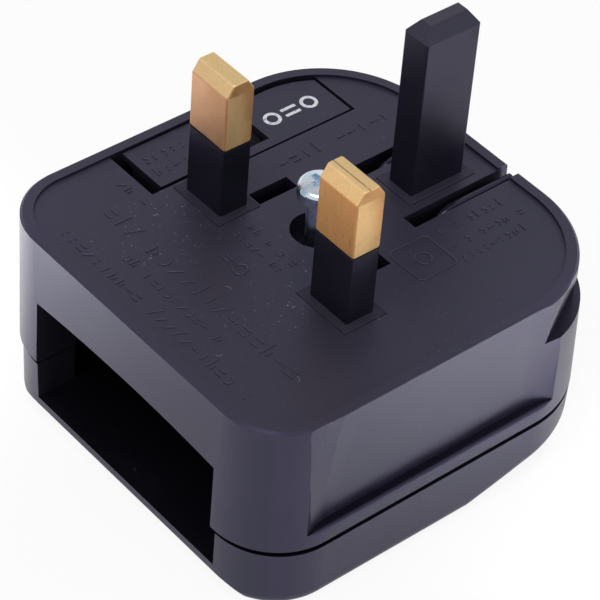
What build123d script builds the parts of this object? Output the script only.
from build123d import *
import os
from math import asin, cos, radians, sin, tan

# Sizes in millimetres. +Z runs along the pins, +Y towards the earth pin, +X towards the neutral pin.

# Body: the pin face, its rim and the two halves of the shell
face_width = 50.68
face_length = 52.95
face_height = 27.0
rim_width = 1.55
rim_height = 0.35
cable_corner_r = 8.3
earth_corner_r = 14.8
earth_foot_r = 13.2
side_rake = 0.185
cable_rake = 0.1
earth_rake = 0.65
corner_rake = 0.5
wall = 2.2
face_plate = 2.2
seam_height = 8.35
seam_gap = 0.3
seam_chamfer = 0.4
rim_chamfer = 0.3

# Finger grips: a sloping flat over a ledge on each side, and a flat on each earth corner
grip_ledge_drop = 15.9
grip_centre_back = 3.1
grip_length = 38.0
grip_foot_inset = 1.15
grip_end_run = 4.6
grip_end_outset = 0.2
grip_top_inset = 0.12
grip_lead_inset = 0.42
grip_lip = 0.75
grip_lip_drop = 0.8
corner_grip_angle = 28.6
corner_grip_drop = 6.2
corner_grip_depth = 1.05
cutter_reach = 6.0

# Cable mouth, and the cheeks that guide the plug
mouth_width = 32.5
mouth_top_drop = 8.15
mouth_side_drop = 8.85
cover_mouth_top = 33.3
cover_mouth_foot = 33.0
cheek_length = 3.4
cheek_thick = 1.5

# Pin pattern
pin_row_setback = 21.5
pin_pitch = 22.23
earth_pitch = 22.23
live_pin_wide = 6.35
live_pin_thick = 3.97
live_pin_length = 18.6
live_tip_rise = 1.5
live_tip_run = 1.0
live_tip_r = 0.4
earth_pin_wide = 3.97
earth_pin_thick = 7.92
earth_pin_length = 23.4
earth_tip_rise = 1.7
earth_tip_inset = 1.2
pin_edge_r = 0.25
sleeve_length = 9.5
sleeve_thick = 0.5
collar_margin = 1.0
collar_proud = 0.06
collar_clear = 0.08
flange_thick = 1.3
flange_margin = 1.0

# Two small openings beside the screw
vent_x = 8.25
vent_wide = 2.1
vent_front = 3.25
vent_back = 8.85

# Locking screw, its hole and the threaded insert in the cover
screw_back = 5.75
screw_hole_r = 3.15
screw_seat_depth = 2.5
screw_seat_thick = 1.5
screw_head_r = 2.66
screw_head_rise = 5.2
screw_head_side = 1.13
screw_head_edge_r = 0.7
screw_head_crown = 0.25
screw_r = 1.45
screw_length = 22.6
screw_point_r = 1.0
screw_point_long = 0.7
screw_hole_clear = 0.25
screw_slot = 0.9
screw_slot_depth = 0.9
recess_reach = 1.5
recess_depth = 1.2
pillar_r = 4.6
retainer_bore_r = 2.7
retainer_r = 2.4
retainer_thick = 0.6
retainer_gap = 0.1
insert_r = 2.4
insert_length = 5.5
insert_bore_r = 1.55
boss_r = 3.4
boss_top_drop = 17.6
boss_bore_r = 1.7
boss_bore_floor = 1.2

# Hinge at the earth end
slot_centre = 5.2
slot_width = 2.1
slot_start = 15.2
ear_thick = 1.0
ear_edge_r = 0.42
ear_top_drop = 0.45
ear_reach = 11.2
ear_limb = 3.0
ear_lower_drop = 6.5
ear_nose_r = 3.95
ear_set_in = 0.35
ear_root = 5.6
hinge_set_in = 1.95
hinge_drop = 4.2
hinge_pin_r = 0.9
hinge_pin_length = 17.6
hinge_fit = 0.02
hinge_run = 0.07
knuckle_r = 1.75
knuckle_boss_end = 9.6
panel_top_drop = 7.0
panel_thick = 1.6

# Cover
cover_inset = 0.25
cover_shift = 0.25
cover_toe = 2.0
cover_draft = 1.0
cover_floor = 3.1
cover_edge_r = 1.7
bevel_centre_front = 10.0
bevel_start_r = 31.0
bevel_slope = 0.33
rib_thick = 1.2
rib_rise = 1.5
rib_clear = 0.3
front_rib_start = 13.0
front_rib_end = 4.0
back_rib_start = 6.0
back_rib_end = 13.0
floor_rib_long = 1.3
floor_rib_thick = 0.5
floor_rib_rise = 0.35
floor_rib_front = 18.75

# Fuse pocket, fuse and carrier
pocket_right = 14.3
pocket_waist = 15.7
pocket_jog = 3.4
pocket_front_room = 2.65
pocket_back_room = 1.3
pocket_lead = 0.1
tub_wall = 1.2
corner_reach = 9.3
tub_corner_rise = 3.0
carrier_gap = 0.2
carrier_step = 10.0
carrier_right = 14.6
carrier_waist = 16.2
carrier_front_room = 1.0
carrier_back_room = 0.85
carrier_corner_gap = 0.6
carrier_thick = 0.9
carrier_end_thick = 0.7
carrier_end_wide = 5.2
carrier_end_drop = 6.0
window_set_in = 3.59
window_wide = 4.3
window_front = 6.6
window_back = 11.7
saddle_wide = 8.4
saddle_long = 1.6
saddle_drop = 5.0
saddle_front = 4.8
saddle_back = 14.2
saddle_clear = 0.05
fuse_set_in = 4.79
fuse_end_back = 22.3
fuse_r = 3.15
fuse_tube_r = 3.0
fuse_length = 25.4
fuse_cap_long = 6.0
fuse_cap_thick = 0.35
fuse_drop = 4.15
clip_gap = 0.1
clip_long = 5.0
clip_finger_rise = 4.2
clip_end_gap = 0.95

# Inner cover, contacts and links
plate_thick = 1.1
plate_drop = 7.7
plate_clear = 0.25
front_wall_back = 0.4
front_wall_thick = 1.5
front_wall_foot = 9.0
contact_x = 9.5
entry_r = 2.2
entry_drop = 16.2
trough_half = 2.2
trough_wall = 0.8
trough_floor_drop = 18.8
trough_floor_thick = 1.0
trough_back = 24.0
rear_cut_half = 6.5
rear_cut_start = 14.5
strip_thick = 0.4
strip_wide = 3.4
strip_clear = 0.3
strap_way = 1.0
contact_thick = 0.6
contact_half_gap = 1.85
contact_front = 3.0
contact_back = 22.0
contact_tab_long = 4.5
flare = 0.7
case_screw_set_in = 5.54
case_screw_front = 14.5
rear_screw_set_in = 7.84
rear_case_screw_back = 17.0
case_boss_r = 2.4
case_screw_r = 1.0
case_screw_fit = 0.02
case_screw_bite = 4.5
case_tip_clear = 0.3
case_hole_r = 1.2
case_head_r = 1.9
case_head_high = 1.3
case_slot = 0.5

# Levels and positions that follow from the sizes above
rim_top = face_height + rim_height
inner_face = face_height - face_plate
base_bottom = seam_height + seam_gap
seam_length = face_length + cable_rake + earth_rake
cover_run = seam_height * tan(radians(cover_draft))
cable_y = cable_rake - seam_length / 2
earth_end_y = cable_y + face_length
row_y = cable_y + pin_row_setback
earth_y = row_y + earth_pitch
screw_y = row_y + screw_back
live_x = pin_pitch / 2
side_x = face_width / 2
grip_outside = side_x + cutter_reach
grip_front = row_y + grip_centre_back - grip_length / 2
grip_back = grip_front + grip_length
grip_ledge = face_height - grip_ledge_drop
corner_ledge = face_height - corner_grip_drop
ledge_flare = (rim_top - corner_ledge) / (rim_top - base_bottom)
plate_top = face_height - plate_drop
plate_bottom = plate_top - plate_thick
hinge_y = earth_end_y - hinge_set_in
hinge_z = face_height - hinge_drop
fuse_back = fuse_end_back - fuse_length / 2
pocket_left = face_width / 2 - rim_width
pocket_corner_r = earth_corner_r - rim_width
pocket_front = fuse_length / 2 - fuse_back + pocket_front_room
pocket_back = fuse_length / 2 + fuse_back + pocket_back_room
carrier_left = pocket_left - carrier_gap
carrier_corner_r = pocket_corner_r - carrier_corner_gap
carrier_front = fuse_length / 2 - fuse_back + carrier_front_room
carrier_back = fuse_length / 2 + fuse_back + carrier_back_room
window_left = pocket_left - window_set_in
window_right = window_left - window_wide
fuse_x = pocket_left - fuse_set_in
case_screw_x = face_width / 2 - case_screw_set_in
rear_case_screw_x = face_width / 2 - rear_screw_set_in
fuse_y = row_y + fuse_back
fuse_z = face_height - fuse_drop
entry_z = face_height - entry_drop
corner_x = face_width / 2 - earth_corner_r
corner_y = earth_end_y - earth_corner_r
strip_top = plate_top + strip_thick
boss_top = face_height - boss_top_drop
case_spots = [
    (-case_screw_x, row_y - case_screw_front),
    (case_screw_x, row_y - case_screw_front),
    (rear_case_screw_x, row_y + rear_case_screw_back),
]


def plug_outline(inset, flare=0, turn=earth_corner_r, shift=0):
    """Outline of the body drawn in by inset, from the pin face (flare 0) to the seam (flare 1)."""
    front = cable_y - flare * cable_rake + inset
    back = earth_end_y + flare * earth_rake - inset
    with Locations((shift, (front + back) / 2)):
        Rectangle(face_width + 2 * flare * side_rake - 2 * inset, back - front)
    fillet(vertices().group_by(Axis.Y)[0], cable_corner_r + flare * corner_rake - inset)
    fillet(vertices().group_by(Axis.Y)[-1], turn - inset)


def block(x0, x1, y0, y1, z0, z1, mode=Mode.ADD):
    """A square block between two corners."""
    with Locations(((x0 + x1) / 2, (y0 + y1) / 2, z0)):
        Box(x1 - x0, y1 - y0, z1 - z0, align=(Align.CENTER, Align.CENTER, Align.MIN), mode=mode)


def rod(x, y, z0, z1, r, mode=Mode.ADD):
    """An upright round rod or bore."""
    with Locations((x, y, z0)):
        Cylinder(r, z1 - z0, align=(Align.CENTER, Align.CENTER, Align.MIN), mode=mode)


def cross_rod(x0, x1, y, z, r, mode=Mode.ADD):
    """A round rod or bore along X."""
    with Locations(Location((x0, y, z), (0, 90, 0))):
        Cylinder(r, x1 - x0, align=(Align.CENTER, Align.CENTER, Align.MIN), mode=mode)


def pocket_outline(left, step, right, waist, front, back, corner_r):
    """Fuse bay outline on the line side: square, with a jog round the line pin and one rounded corner."""
    top = row_y + back
    upper_left = -corner_x - corner_r
    half_turn = asin((top - corner_y) / corner_r) / 2
    turn_middle = (-corner_x - corner_r * cos(half_turn), corner_y + corner_r * sin(half_turn))
    turn_end = (-corner_x - corner_r * cos(2 * half_turn), top)
    with BuildLine() as outline:
        edge = Polyline(
            turn_end,
            (-right, top),
            (-right, row_y + pocket_jog),
            (-waist, row_y + pocket_jog),
            (-waist, row_y - front),
            (-left, row_y - front),
            (-left, row_y + step),
            (upper_left, row_y + step + pocket_lead),
            (upper_left, corner_y),
        )
        ThreePointArc(edge @ 1, turn_middle, turn_end)
    make_face(outline.edges())


def grip_plan(inset):
    """Plan of a side grip at its ledge: a flat between two rounded ends, closed outside the body."""
    with BuildLine() as plan:
        x = side_x - inset
        flat = Line((x, grip_front + grip_end_run), (x, grip_back - grip_end_run))
        lead_in = TangentArc(flat @ 0, (side_x + grip_end_outset, grip_front), tangent=(0, -1))
        run_out = TangentArc(flat @ 1, (side_x + grip_end_outset, grip_back), tangent=(0, 1))
        Polyline(run_out @ 1, (grip_outside, grip_back), (grip_outside, grip_front), lead_in @ 1)
    make_face(plan.edges())


def straight_plan(inset, lead_inset):
    """Plan of a side grip above or below its ledge, with as many edges as the plan at the ledge."""
    with BuildLine() as plan:
        Polyline(
            (side_x - lead_inset, grip_front),
            (side_x - inset, grip_front + grip_end_run),
            (side_x - inset, grip_back - grip_end_run),
            (side_x - inset, grip_back),
            (grip_outside, grip_back),
            (grip_outside, grip_front),
            close=True,
        )
    make_face(plan.edges())


# Cutters for the finger grips
with BuildPart() as side_grip:
    with BuildSketch(Plane.XY.offset(grip_ledge)):
        grip_plan(grip_foot_inset)
    with BuildSketch(Plane.XY.offset(rim_top + 1)):
        straight_plan(grip_top_inset, grip_lead_inset)
    loft(ruled=True)
    # sloping lip of the ledge
    with BuildSketch(Plane.XY.offset(grip_ledge - grip_lip_drop)):
        straight_plan(-grip_end_outset, -grip_end_outset)
    with BuildSketch(Plane.XY.offset(grip_ledge)):
        grip_plan(grip_lip)
    loft(ruled=True)

corner_plane = Plane(
    origin=(corner_x, corner_y, 0),
    x_dir=Vector(1, 0, 0).rotate(Axis.Z, corner_grip_angle),
    z_dir=Vector(0, -1, 0).rotate(Axis.Z, corner_grip_angle),
)
with BuildPart() as corner_grip:
    with BuildSketch(corner_plane):
        with BuildLine():
            Polyline(
                (earth_corner_r - corner_grip_depth, corner_ledge),
                (earth_corner_r - grip_top_inset / 2, rim_top),
                (earth_corner_r - grip_top_inset / 2, rim_top + 1),
                (earth_corner_r + cutter_reach, rim_top + 1),
                (earth_corner_r + cutter_reach, corner_ledge),
                close=True,
            )
        make_face()
    extrude(amount=earth_corner_r, both=True)

grips = [side_grip.part, corner_grip.part]
grips += [mirror(cutter, about=Plane.YZ) for cutter in grips]

# Base moulding: pin face, walls, upper mouth, fuse bay, pillar, bosses and hinge knuckles
with BuildPart() as base:
    with BuildSketch(Plane.XY.offset(base_bottom)):
        plug_outline(0, flare=1, turn=earth_foot_r)
    with BuildSketch(Plane.XY.offset(corner_ledge)):
        plug_outline(0, flare=ledge_flare, turn=earth_foot_r)
    loft(ruled=True)
    with BuildSketch(Plane.XY.offset(corner_ledge)):
        plug_outline(0, flare=ledge_flare)
    with BuildSketch(Plane.XY.offset(rim_top)):
        plug_outline(0)
    loft(ruled=True)
    chamfer(base.faces().sort_by(Axis.Z)[0].edges(), seam_chamfer)
    chamfer(base.faces().sort_by(Axis.Z)[-1].edges(), rim_chamfer)
    with BuildSketch(Plane.XY.offset(face_height)):
        plug_outline(rim_width)
    extrude(amount=2 * rim_height, mode=Mode.SUBTRACT)
    for cutter in grips:
        add(cutter, mode=Mode.SUBTRACT)
    with BuildSketch(Plane.XY.offset(base_bottom)):
        plug_outline(wall)
    extrude(amount=inner_face - base_bottom, mode=Mode.SUBTRACT)
    # upper half of the cable mouth, with a slightly arched top
    cable_inside = cable_y + wall
    with BuildSketch(Plane.XZ.offset(-cable_inside)):
        with BuildLine():
            arch = ThreePointArc(
                (-mouth_width / 2, face_height - mouth_side_drop),
                (0, face_height - mouth_top_drop),
                (mouth_width / 2, face_height - mouth_side_drop),
            )
            Polyline(arch @ 1, (mouth_width / 2, 0), (-mouth_width / 2, 0), arch @ 0)
        make_face()
    extrude(amount=2 * wall, mode=Mode.SUBTRACT)
    for side in (-1, 1):
        x0 = side * mouth_width / 2
        x1 = x0 + side * cheek_thick
        cheek_end = cable_inside + cheek_length
        block(min(x0, x1), max(x0, x1), cable_inside, cheek_end, base_bottom, plate_bottom)
    # walls of the fuse bay
    tub_left = face_width / 2 - wall
    tub_back = row_y + pocket_back + tub_wall
    tub_front = row_y - pocket_front - tub_wall
    jog_y = row_y + pocket_jog
    with BuildSketch(Plane.XY.offset(plate_top)):
        with BuildLine():
            Polyline(
                (-tub_left, tub_front),
                (tub_wall - pocket_waist, tub_front),
                (tub_wall - pocket_waist, jog_y),
                (tub_wall - pocket_right, jog_y),
                (tub_wall - pocket_right, tub_back),
                (-corner_x - corner_reach, tub_back),
                (-tub_left, corner_y + tub_corner_rise),
                close=True,
            )
        make_face()
    extrude(amount=inner_face - plate_top)
    # screw pillar, bosses for the inner cover and knuckles for the hinge pin
    rod(0, screw_y, plate_top, inner_face, pillar_r)
    for x, y in case_spots:
        rod(x, y, plate_top, inner_face, case_boss_r)
    opening = slot_centre + slot_width / 2
    tongue = slot_centre - slot_width / 2
    block(-opening, opening, hinge_y - knuckle_r, face_length, 0, inner_face, Mode.SUBTRACT)
    for side in (-1, 1):
        x = side * slot_centre
        y0 = row_y + slot_start
        block(x - slot_width / 2, x + slot_width / 2, y0, face_length, 0, rim_top + 1, Mode.SUBTRACT)
    for x0, x1 in ((-tongue, tongue), (opening, knuckle_boss_end), (-knuckle_boss_end, -opening)):
        cross_rod(x0, x1, hinge_y, hinge_z, knuckle_r)
        block(x0, x1, hinge_y - knuckle_r, hinge_y + knuckle_r, hinge_z, inner_face)
    pin_half = hinge_pin_length / 2
    cross_rod(-pin_half, pin_half, hinge_y, hinge_z, hinge_pin_r + hinge_fit, Mode.SUBTRACT)
    # openings in the pin face
    with BuildSketch(Plane.XY.offset(plate_top)):
        pocket_outline(
            pocket_left,
            carrier_step,
            pocket_right,
            pocket_waist,
            pocket_front,
            pocket_back,
            pocket_corner_r,
        )
    extrude(amount=rim_top, mode=Mode.SUBTRACT)
    collar_x = live_pin_wide / 2 + collar_margin + collar_clear
    collar_y = live_pin_thick / 2 + collar_margin + collar_clear
    for x in (-live_x, live_x):
        y0 = row_y - collar_y
        y1 = row_y + collar_y
        block(x - collar_x, x + collar_x, y0, y1, plate_top, rim_top, Mode.SUBTRACT)
    earth_collar_x = earth_pin_wide / 2 + collar_margin + collar_clear
    earth_collar_y = earth_pin_thick / 2 + collar_margin + collar_clear
    y0 = earth_y - earth_collar_y
    y1 = earth_y + earth_collar_y
    block(-earth_collar_x, earth_collar_x, y0, y1, plate_top, rim_top, Mode.SUBTRACT)
    for side in (-1, 1):
        x0 = side * vent_x - vent_wide / 2
        x1 = x0 + vent_wide
        y0 = row_y + vent_front
        y1 = row_y + vent_back
        block(x0, x1, y0, y1, inner_face, rim_top, Mode.SUBTRACT)
    # clear way for the straps beside the line pin and at the back of the fuse bay
    room = live_pin_thick / 2 + collar_margin + flange_margin + collar_clear
    way = -pocket_waist - strap_way
    block(way, -pillar_r, row_y - room, row_y + room, plate_top, inner_face, Mode.SUBTRACT)
    strap_y = row_y + fuse_back + fuse_length / 2 - clip_end_gap - clip_long / 2
    y0 = strap_y - clip_long / 2
    y1 = strap_y + clip_long / 2
    x0 = -pocket_right - strap_way
    x1 = tub_wall - pocket_right
    block(x0, x1, y0, y1, plate_top, strip_top + strip_clear, Mode.SUBTRACT)
    # stepped bore for the screw, and pilot holes for the inner cover's screws
    rod(0, screw_y, face_height - screw_seat_depth, rim_top, screw_hole_r, Mode.SUBTRACT)
    rod(0, screw_y, plate_top, rim_top, screw_r + screw_hole_clear, Mode.SUBTRACT)
    retainer_top = face_height - screw_seat_depth - screw_seat_thick
    rod(0, screw_y, plate_top, retainer_top, retainer_bore_r, Mode.SUBTRACT)
    for x, y in case_spots:
        rod(x, y, plate_top, plate_top + case_screw_bite, case_screw_r + case_screw_fit, Mode.SUBTRACT)
base.part.label = "base_moulding"

# Back cover: shallow tray with a bevelled earth end, a screw boss and two hinge ears
bevel_y = row_y - bevel_centre_front
bevel_far = 3 * bevel_start_r
with BuildPart() as bevel:
    with BuildSketch(Plane.XZ.offset(-bevel_y)):
        with BuildLine():
            Polyline(
                (bevel_start_r, 0),
                (bevel_far, 0),
                (bevel_far, (bevel_far - bevel_start_r) * bevel_slope),
                close=True,
            )
        make_face()
    revolve(axis=Axis((0, bevel_y, 0), (0, 0, 1)))
raised_bevel = bevel.part.moved(Location((0, 0, cover_floor)))

with BuildPart() as cover_room:
    with BuildSketch(Plane.XY.offset(cover_floor)):
        plug_outline(wall + cover_inset, flare=1, turn=earth_foot_r, shift=cover_shift)
    extrude(amount=seam_height)
    add(raised_bevel, mode=Mode.SUBTRACT)

# Hinge ear: upright plate with a rounded crest that shows in the slots beside the earth pin
ear_end = earth_end_y - ear_set_in
foot_end = ear_end + earth_rake
with BuildPart() as ear:
    ear_top = face_height - ear_top_drop
    ear_low = face_height - ear_lower_drop
    ear_tip = hinge_y - ear_reach
    limb_y = hinge_y - ear_limb
    with BuildSketch(Plane.YZ):
        with BuildLine():
            nose_foot = (ear_tip, ear_top - ear_nose_r)
            nose = RadiusArc(nose_foot, (ear_tip + ear_nose_r, ear_top), ear_nose_r)
            Polyline(
                nose @ 1,
                (ear_end, ear_top),
                (foot_end, base_bottom),
                (foot_end - cover_inset, ear_root),
                (limb_y, ear_root),
                (limb_y, ear_low),
                (ear_tip, ear_low),
                nose @ 0,
            )
        make_face()
    extrude(amount=ear_thick)
    crest = ear.edges().filter_by(Axis.Y).group_by(Axis.Z)[-1]
    fillet(crest + ear.edges().filter_by(GeomType.CIRCLE), ear_edge_r)

with BuildPart() as cover:
    with BuildSketch(Plane.XY):
        plug_outline(cover_inset + cover_run, flare=1, turn=earth_foot_r, shift=cover_shift)
    extrude(amount=seam_height, taper=-cover_draft)
    add(bevel.part, mode=Mode.SUBTRACT)
    lower = cover.edges().filter_by_position(Axis.Z, -0.01, seam_height - 1)
    fillet(lower.filter_by(lambda e: abs(e.tangent_at(0.5).Z) < 0.6), cover_edge_r)
    # flat toe under the cable end
    toe_y = cable_y - cable_rake + cover_inset + cover_run
    with BuildSketch(Plane.YZ):
        with BuildLine():
            Polyline(
                (toe_y - cover_toe, 2 * cover_toe),
                (toe_y + 2 * cover_toe, -cover_toe),
                (toe_y - cover_toe, -cover_toe),
                close=True,
            )
        make_face()
    extrude(amount=face_width, both=True, mode=Mode.SUBTRACT)
    add(cover_room.part, mode=Mode.SUBTRACT)
    # lower half of the cable mouth and its cheeks
    with BuildSketch(Plane.XZ.offset(-cable_inside - wall)):
        with BuildLine():
            Polyline(
                (cover_shift - cover_mouth_top / 2, seam_height + 1),
                (cover_shift + cover_mouth_top / 2, seam_height + 1),
                (cover_shift + cover_mouth_foot / 2, cover_floor),
                (cover_shift - cover_mouth_foot / 2, cover_floor),
                close=True,
            )
        make_face()
    extrude(amount=3 * wall, mode=Mode.SUBTRACT)
    for side in (-1, 1):
        x0 = cover_shift + side * cover_mouth_top / 2
        x1 = x0 + side * cheek_thick
        y0 = cable_inside - cable_rake
        block(min(x0, x1), max(x0, x1), y0, cable_inside + cheek_length, cover_floor, seam_height)
    rib_y = row_y - floor_rib_front
    block(
        -floor_rib_thick / 2,
        floor_rib_thick / 2,
        rib_y - floor_rib_long / 2,
        rib_y + floor_rib_long / 2,
        cover_floor,
        cover_floor + floor_rib_rise,
    )
    # locating ribs that stand inside the side walls of the base
    rib_x = face_width / 2 - wall - rib_clear
    rib_spans = [
        (row_y - front_rib_start, row_y - front_rib_end),
        (row_y + back_rib_start, row_y + back_rib_end),
    ]
    for side in (-1, 1):
        for y0, y1 in rib_spans:
            x0 = side * rib_x
            x1 = x0 - side * rib_thick
            block(min(x0, x1), max(x0, x1), y0, y1, cover_floor, seam_height + rib_rise)
    # boss with a bore for the threaded insert
    rod(0, screw_y, cover_floor, boss_top, boss_r)
    rod(0, screw_y, boss_bore_floor, boss_top, boss_bore_r, Mode.SUBTRACT)
    rod(0, screw_y, boss_top - insert_length, boss_top, insert_r, Mode.SUBTRACT)
    # hinge ears and the panel that joins them
    ear_x = slot_centre - ear_thick / 2
    for x0 in (ear_x, -ear_x - ear_thick):
        add(ear.part.moved(Location((x0, 0, 0))))
    panel_x = ear_x + ear_thick
    panel_back = foot_end - cover_inset
    panel_top = face_height - panel_top_drop
    block(-panel_x, panel_x, panel_back - panel_thick, panel_back, ear_root, panel_top)
    cross_rod(-panel_x, panel_x, hinge_y, hinge_z, hinge_pin_r + hinge_run, Mode.SUBTRACT)
cover.part.label = "back_cover"

# Inner cover: plate over the live parts, front wall with two entries and a trough for each contact
with BuildPart() as inner:
    plate_inset = wall + plate_clear
    wall_y0 = row_y + front_wall_back
    wall_y1 = wall_y0 + front_wall_thick
    plate_half = face_width / 2 - plate_inset
    with BuildSketch(Plane.XY.offset(plate_bottom)):
        plug_outline(plate_inset)
    extrude(amount=plate_thick)
    block(-plate_half, plate_half, wall_y0, wall_y1, front_wall_foot, plate_bottom)
    trough_back_y = row_y + trough_back
    trough_floor = face_height - trough_floor_drop
    for side in (-1, 1):
        x = side * contact_x
        outer = trough_half + trough_wall
        z0 = trough_floor - trough_floor_thick
        block(x - outer, x + outer, wall_y0, trough_back_y + trough_wall, z0, plate_bottom)
        x0 = x - trough_half
        x1 = x + trough_half
        block(x0, x1, wall_y1, trough_back_y, trough_floor, plate_top, Mode.SUBTRACT)
        with BuildSketch(Plane.XZ.offset(-wall_y1)):
            with Locations((x, entry_z)):
                Circle(entry_r)
        extrude(amount=front_wall_thick, mode=Mode.SUBTRACT)
    block(
        -rear_cut_half,
        rear_cut_half,
        row_y + rear_cut_start,
        face_length,
        plate_bottom,
        plate_top,
        Mode.SUBTRACT,
    )
    rod(0, screw_y, plate_bottom, plate_top, retainer_bore_r, Mode.SUBTRACT)
    for x, y in case_spots:
        rod(x, y, plate_bottom, plate_top, case_hole_r, Mode.SUBTRACT)
inner.part.label = "inner_cover"


def live_pin(x, name):
    """Brass pin, thinner inside its sleeve, with a tip bevelled across its thickness."""
    neck_x = live_pin_wide - 2 * sleeve_thick
    neck_y = live_pin_thick - 2 * sleeve_thick
    shoulder = face_height + live_pin_length - live_tip_rise
    sleeve_top = face_height + sleeve_length
    half_y = live_pin_thick / 2
    with BuildPart() as pin:
        with BuildSketch(Plane.YZ.offset(x - live_pin_wide / 2)):
            with BuildLine():
                Polyline(
                    (row_y - half_y, sleeve_top),
                    (row_y - half_y, shoulder),
                    (row_y - half_y + live_tip_run, shoulder + live_tip_rise),
                    (row_y + half_y - live_tip_run, shoulder + live_tip_rise),
                    (row_y + half_y, shoulder),
                    (row_y + half_y, sleeve_top),
                    close=True,
                )
            make_face()
            fillet(vertices().group_by(Axis.Z)[-1], live_tip_r)
        extrude(amount=live_pin_wide)
        fillet(pin.edges().filter_by(Axis.Z), pin_edge_r)
        block(x - neck_x / 2, x + neck_x / 2, row_y - neck_y / 2, row_y + neck_y / 2, strip_top, sleeve_top)
    pin.part.label = name
    return pin.part


def live_sleeve(x, name):
    """Insulating sleeve flush with the pin, with a square collar in the face and a flange behind it."""
    neck_x = live_pin_wide - 2 * sleeve_thick
    neck_y = live_pin_thick - 2 * sleeve_thick
    collar_wide = live_pin_wide + 2 * collar_margin
    collar_deep = live_pin_thick + 2 * collar_margin
    flange_z = inner_face - flange_thick
    with BuildPart() as sleeve:
        with BuildSketch(Plane.XY.offset(face_height)):
            with Locations((x, row_y)):
                RectangleRounded(live_pin_wide, live_pin_thick, pin_edge_r)
        extrude(amount=sleeve_length)
        with Locations((x, row_y, flange_z)):
            lower = (Align.CENTER, Align.CENTER, Align.MIN)
            Box(collar_wide, collar_deep, face_height + collar_proud - flange_z, align=lower)
            Box(collar_wide, collar_deep + 2 * flange_margin, flange_thick, align=lower)
            Box(neck_x, neck_y, 2 * face_height, align=lower, mode=Mode.SUBTRACT)
    sleeve.part.label = name
    return sleeve.part


line_pin = live_pin(-live_x, "line_pin")
neutral_pin = live_pin(live_x, "neutral_pin")
line_sleeve = live_sleeve(-live_x, "line_sleeve")
neutral_sleeve = live_sleeve(live_x, "neutral_sleeve")

# Earth pin: solid plastic, tapered tip, collar and flange like the sleeves
with BuildPart() as earth_pin:
    shoulder = face_height + earth_pin_length - earth_tip_rise
    with BuildSketch(Plane.XY.offset(face_height)):
        with Locations((0, earth_y)):
            Rectangle(earth_pin_wide, earth_pin_thick)
    extrude(amount=shoulder - face_height)
    with BuildSketch(Plane.XY.offset(shoulder)):
        with Locations((0, earth_y)):
            Rectangle(earth_pin_wide, earth_pin_thick)
    with BuildSketch(Plane.XY.offset(shoulder + earth_tip_rise)):
        with Locations((0, earth_y)):
            Rectangle(earth_pin_wide - 2 * earth_tip_inset, earth_pin_thick - 2 * earth_tip_inset)
    loft(ruled=True)
    fillet(earth_pin.edges().filter_by(Axis.Z), pin_edge_r)
    with Locations((0, earth_y, inner_face - flange_thick)):
        lower = (Align.CENTER, Align.CENTER, Align.MIN)
        collar_wide = earth_pin_wide + 2 * collar_margin
        collar_deep = earth_pin_thick + 2 * collar_margin
        Box(collar_wide, collar_deep, face_plate + flange_thick + collar_proud, align=lower)
        Box(collar_wide + 2 * flange_margin, collar_deep, flange_thick, align=lower)
earth_pin.part.label = "earth_pin"

# Fuse carrier: face panel with a window, two saddles that hold the fuse and two end walls
with BuildPart() as carrier:
    with BuildSketch(Plane.XY.offset(face_height - carrier_thick)):
        pocket_outline(
            carrier_left,
            carrier_step,
            carrier_right,
            carrier_waist,
            carrier_front,
            carrier_back,
            carrier_corner_r,
        )
    extrude(amount=carrier_thick)
    block(
        -window_left,
        -window_right,
        row_y + window_front,
        row_y + window_back,
        face_height - carrier_thick,
        face_height,
        Mode.SUBTRACT,
    )
    under = face_height - carrier_thick
    for back in (saddle_front, saddle_back):
        y = row_y + back
        x0 = -fuse_x - saddle_wide / 2
        x1 = -fuse_x + saddle_wide / 2
        block(x0, x1, y - saddle_long / 2, y + saddle_long / 2, face_height - saddle_drop, under)
    end_x0 = -fuse_x - carrier_end_wide / 2
    end_x1 = -fuse_x + carrier_end_wide / 2
    end_z = face_height - carrier_end_drop
    for y0 in (row_y - carrier_front, row_y + carrier_back - carrier_end_thick):
        block(end_x0, end_x1, y0, y0 + carrier_end_thick, end_z, under)
    with BuildSketch(Plane.XZ.offset(-(fuse_y + fuse_length / 2))):
        with Locations((-fuse_x, fuse_z)):
            Circle(fuse_r + saddle_clear)
    extrude(amount=fuse_length, mode=Mode.SUBTRACT)
carrier.part.label = "fuse_carrier"

# Fuse: ceramic tube and two metal end caps
fuse_end = fuse_y + fuse_length / 2
with BuildPart() as fuse_tube:
    with BuildSketch(Plane.XZ.offset(-(fuse_end - fuse_cap_thick))):
        with Locations((-fuse_x, fuse_z)):
            Circle(fuse_tube_r)
    extrude(amount=fuse_length - 2 * fuse_cap_thick)
fuse_tube.part.label = "fuse_tube"

with BuildPart() as fuse_caps:
    for start in (fuse_end, fuse_end - fuse_length + fuse_cap_long):
        with BuildSketch(Plane.XZ.offset(-start)):
            with Locations((-fuse_x, fuse_z)):
                Circle(fuse_r)
        extrude(amount=fuse_cap_long)
    with BuildSketch(Plane.XZ.offset(-(fuse_end - fuse_cap_thick))):
        with Locations((-fuse_x, fuse_z)):
            Circle(fuse_tube_r)
    extrude(amount=fuse_length - 2 * fuse_cap_thick, mode=Mode.SUBTRACT)
fuse_caps.part.label = "fuse_caps"


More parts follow.
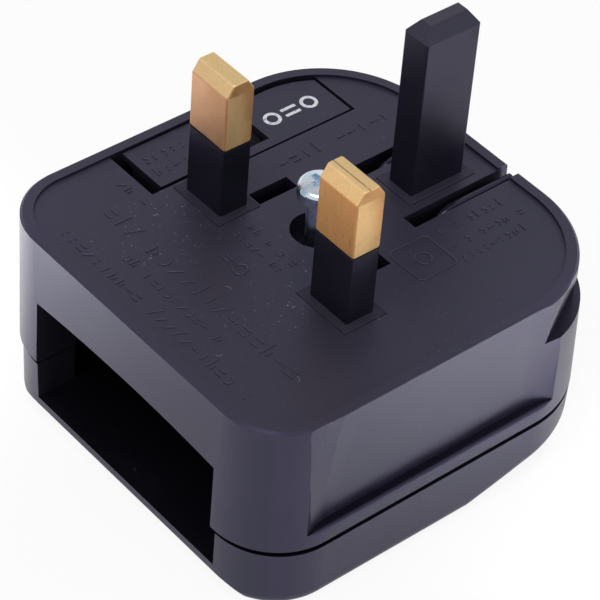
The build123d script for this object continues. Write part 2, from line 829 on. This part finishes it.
def fuse_clip(y, strap_end, name):
    """Spring clip: strip on the inner cover, two fingers beside the fuse cap and a strap towards +X."""
    inside = fuse_r + clip_gap
    outside = inside + strip_thick
    y0 = y - clip_long / 2
    y1 = y + clip_long / 2
    with BuildPart() as clip:
        block(-fuse_x - outside, -fuse_x + outside, y0, y1, plate_top, strip_top)
        for x0 in (-fuse_x - outside, -fuse_x + inside):
            block(x0, x0 + strip_thick, y0, y1, plate_top, plate_top + clip_finger_rise)
        block(-fuse_x, strap_end, y - strip_wide / 2, y + strip_wide / 2, plate_top, strip_top)
    clip.part.label = name
    return clip.part


clip_back_y = fuse_end - clip_end_gap - clip_long / 2
clip_front_y = fuse_end - fuse_length + clip_end_gap + clip_long / 2
line_clip = fuse_clip(clip_front_y, -live_x + strip_wide, "line_fuse_clip")
load_clip = fuse_clip(clip_back_y, -contact_x + strip_wide / 2, "load_fuse_clip")

# Neutral link: strip from the neutral pin to the neutral contact
with BuildPart() as neutral_link:
    link_x0 = contact_x - strip_wide / 2
    link_x1 = contact_x + strip_wide / 2
    link_y0 = row_y - strip_wide / 2
    block(link_x0, live_x + strip_wide / 2, link_y0, row_y + strip_wide / 2, plate_top, strip_top)
    block(link_x0, link_x1, row_y, row_y + contact_back, plate_top, strip_top)
neutral_link.part.label = "neutral_link"


def contact(x, name):
    """Spring socket for a round pin: two leaves, a back plate and a tab that lies on the strap above."""
    front = row_y + contact_front
    back = row_y + contact_back
    gap = contact_half_gap
    thick = contact_thick
    tab_top = strip_top + thick
    with BuildPart() as socket:
        with BuildSketch(Plane.YZ.offset(x - strip_wide / 2)):
            with BuildLine():
                Polyline(
                    (front, entry_z + gap + flare),
                    (front + flare, entry_z + gap),
                    (back, entry_z + gap),
                    (back, entry_z - gap),
                    (front + flare, entry_z - gap),
                    (front, entry_z - gap - flare + thick / 2),
                    (front, entry_z - gap - thick),
                    (back + thick, entry_z - gap - thick),
                    (back + thick, tab_top),
                    (back - contact_tab_long, tab_top),
                    (back - contact_tab_long, strip_top),
                    (back, strip_top),
                    (back, entry_z + gap + thick),
                    (front + flare, entry_z + gap + thick),
                    (front, entry_z + gap + flare + thick),
                    close=True,
                )
            make_face()
        extrude(amount=strip_wide)
    socket.part.label = name
    return socket.part


line_contact = contact(-contact_x, "line_contact")
neutral_contact = contact(contact_x, "neutral_contact")

# Hinge pin
with BuildPart() as hinge_pin:
    cross_rod(-hinge_pin_length / 2, hinge_pin_length / 2, hinge_y, hinge_z, hinge_pin_r)
hinge_pin.part.label = "hinge_pin"

# Locking screw: pan head with a slot and a cross recess, and a plain shank that stands for the thread
head_z = face_height + screw_head_rise
side_top = head_z + screw_head_side
head_top = side_top + screw_head_edge_r + screw_head_crown
with BuildPart() as screw:
    with BuildSketch(Plane.XZ.offset(-screw_y)):
        with BuildLine():
            turn = RadiusArc(
                (screw_head_r, side_top),
                (screw_head_r - screw_head_edge_r, side_top + screw_head_edge_r),
                -screw_head_edge_r,
            )
            crown = TangentArc((0, head_top), turn @ 1, tangent=(1, 0))
            Polyline(
                crown @ 0,
                (0, head_z - screw_length),
                (screw_point_r, head_z - screw_length),
                (screw_r, head_z - screw_length + screw_point_long),
                (screw_r, head_z),
                (screw_head_r, head_z),
                turn @ 0,
            )
        make_face()
    revolve(axis=Axis((0, screw_y, 0), (0, 0, 1)))
    slot_z = head_top - screw_slot_depth
    half = screw_slot / 2
    reach = 2 * screw_head_r
    block(-half, half, screw_y - reach, screw_y + reach, slot_z, head_top + 1, Mode.SUBTRACT)
    recess_z = head_top - recess_depth
    y0 = screw_y - half
    y1 = screw_y + half
    block(-recess_reach, recess_reach, y0, y1, recess_z, head_top + 1, Mode.SUBTRACT)
screw.part.label = "locking_screw"

with BuildPart() as retainer:
    rod(0, screw_y, retainer_top - retainer_gap - retainer_thick, retainer_top - retainer_gap, retainer_r)
    rod(0, screw_y, 0, face_height, screw_r, Mode.SUBTRACT)
retainer.part.label = "screw_retainer"

# Threaded insert pressed into the boss of the cover
with BuildPart() as insert:
    rod(0, screw_y, boss_top - insert_length, boss_top, insert_r)
    rod(0, screw_y, 0, face_height, insert_bore_r, Mode.SUBTRACT)
insert.part.label = "threaded_insert"

# Screws that hold the inner cover to the base
with BuildPart() as case_screws:
    for x, y in case_spots:
        rod(x, y, plate_bottom - case_head_high, plate_bottom, case_head_r)
        rod(x, y, plate_bottom, plate_top + case_screw_bite - case_tip_clear, case_screw_r)
        z0 = plate_bottom - case_head_high
        y0 = y - case_slot / 2
        y1 = y0 + case_slot
        block(x - case_head_r, x + case_head_r, y0, y1, z0, z0 + case_slot, Mode.SUBTRACT)
case_screws.part.label = "inner_cover_screws"

os.makedirs("parts", exist_ok=True)
pieces = [
    base.part,
    cover.part,
    inner.part,
    line_pin,
    neutral_pin,
    line_sleeve,
    neutral_sleeve,
    earth_pin.part,
    carrier.part,
    fuse_tube.part,
    fuse_caps.part,
    line_clip,
    load_clip,
    line_contact,
    neutral_contact,
    neutral_link.part,
    hinge_pin.part,
    screw.part,
    retainer.part,
    insert.part,
    case_screws.part,
]
for piece in pieces:
    export_step(piece, "parts/" + piece.label + ".step")
